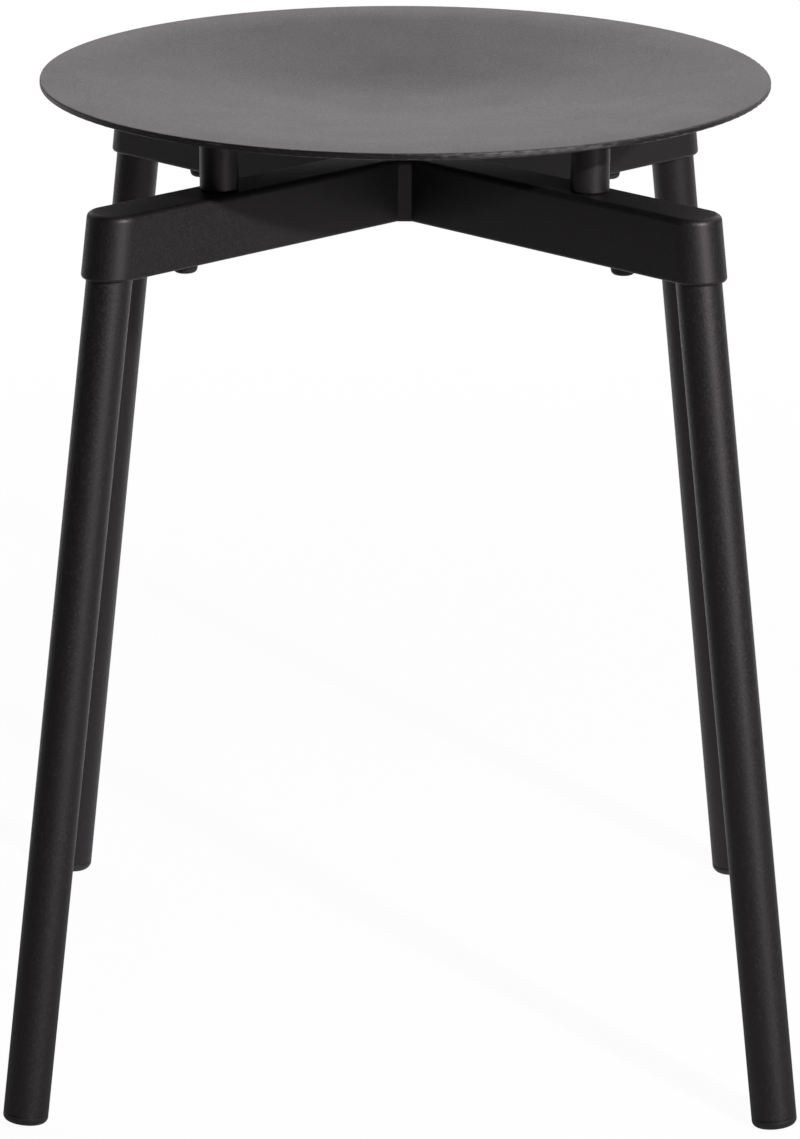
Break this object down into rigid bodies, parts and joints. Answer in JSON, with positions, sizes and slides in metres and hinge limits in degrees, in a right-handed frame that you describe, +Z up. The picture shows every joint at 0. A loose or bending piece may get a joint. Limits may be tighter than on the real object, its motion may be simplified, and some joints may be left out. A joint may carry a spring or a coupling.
{
  "type": "outdoor stool",
  "caption": "Backless round stool for outdoors: a shallow dished metal seat stands on posts over an X-shaped frame with splayed round tube legs.",
  "frame": {"origin": "on the floor, under the middle of the seat", "axes": "+Z up, the axis of the round seat; -Y is the front in the picture, half way between two legs; +X to the right"},
  "size_m": [0.3686, 0.3686, 0.46],
  "materials": {
    "seat_coat": "matte",
    "frame_coat": "matte",
    "glide_plastic": "matte",
    "bumper_rubber": "matte",
    "screw_steel": "satin"
  },
  "bodies": {
    "root": {"seat_disc": "seat_coat", "cross_frame": "frame_coat", "leg_rear_right": "frame_coat", "leg_rear_left": "frame_coat", "leg_front_left": "frame_coat", "leg_front_right": "frame_coat", "foot_glide_rear_right": "glide_plastic", "foot_glide_rear_left": "glide_plastic", "foot_glide_front_left": "glide_plastic", "foot_glide_front_right": "glide_plastic", "stack_bumper_rear_right": "bumper_rubber", "stack_bumper_rear_left": "bumper_rubber", "stack_bumper_front_left": "bumper_rubber", "stack_bumper_front_right": "bumper_rubber", "seat_spacer_rear_right": "seat_coat", "seat_spacer_rear_left": "seat_coat", "seat_spacer_front_left": "seat_coat", "seat_spacer_front_right": "seat_coat", "seat_screw_rear_right": "screw_steel", "seat_screw_rear_left": "screw_steel", "seat_screw_front_left": "screw_steel", "seat_screw_front_right": "screw_steel", "seat_washer_rear_right": "screw_steel", "seat_washer_rear_left": "screw_steel", "seat_washer_front_left": "screw_steel", "seat_washer_front_right": "screw_steel"}
  },
  "joints": []
}
